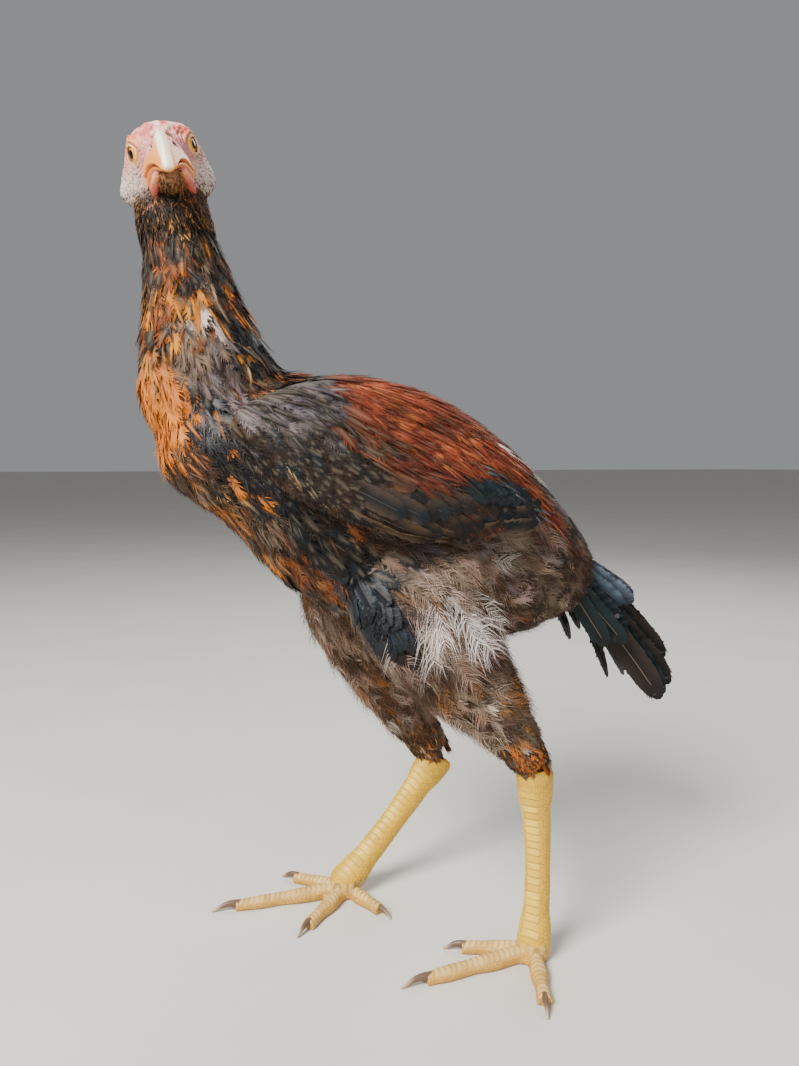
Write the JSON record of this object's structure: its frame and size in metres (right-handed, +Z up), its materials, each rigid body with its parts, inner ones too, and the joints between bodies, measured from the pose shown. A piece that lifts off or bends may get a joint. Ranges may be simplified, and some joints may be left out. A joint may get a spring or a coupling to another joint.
{
  "type": "chicken",
  "caption": "Young Amroha Aseel cockerel, standing with its head turned to its left: bare face, long feathered neck, folded wings, yellow scaled shanks and a short drooping tail",
  "frame": {"origin": "on the floor, under the middle of the bounding box", "axes": "+Z up, -Y the way the bird faces, +X its left side"},
  "size_m": [0.2018, 0.3464, 0.4753],
  "materials": {
    "body_coat": "matt, overlapping feathers",
    "leg_coat": "matt, short feathers",
    "wing_coat": "silky feathers",
    "tail_feathers": "glossy black feathers with a green sheen",
    "bare_skin": "matt wrinkled skin",
    "eye": "wet and glossy",
    "beak_horn": "satin horn",
    "claw_horn": "satin horn",
    "leg_skin": "scaled skin"
  },
  "bodies": {
    "root": {"comb": "bare_skin", "head": "bare_skin", "left_claw_1": "claw_horn", "left_claw_2": "claw_horn", "left_claw_3": "claw_horn", "left_claw_4": "claw_horn", "left_eye": "eye", "left_shank": "leg_skin", "left_thigh": "leg_coat", "left_toe_1": "leg_skin", "left_toe_2": "leg_skin", "left_toe_3": "leg_skin", "left_toe_4": "leg_skin", "left_web_23": "leg_skin", "left_web_34": "leg_skin", "left_wing": "wing_coat", "lower_beak": "beak_horn", "neck": "body_coat", "right_claw_1": "claw_horn", "right_claw_2": "claw_horn", "right_claw_3": "claw_horn", "right_claw_4": "claw_horn", "right_eye": "eye", "right_shank": "leg_skin", "right_thigh": "leg_coat", "right_toe_1": "leg_skin", "right_toe_2": "leg_skin", "right_toe_3": "leg_skin", "right_toe_4": "leg_skin", "right_web_23": "leg_skin", "right_web_34": "leg_skin", "right_wing": "wing_coat", "tail": "tail_feathers", "torso": "body_coat", "upper_beak": "beak_horn"}
  },
  "joints": []
}
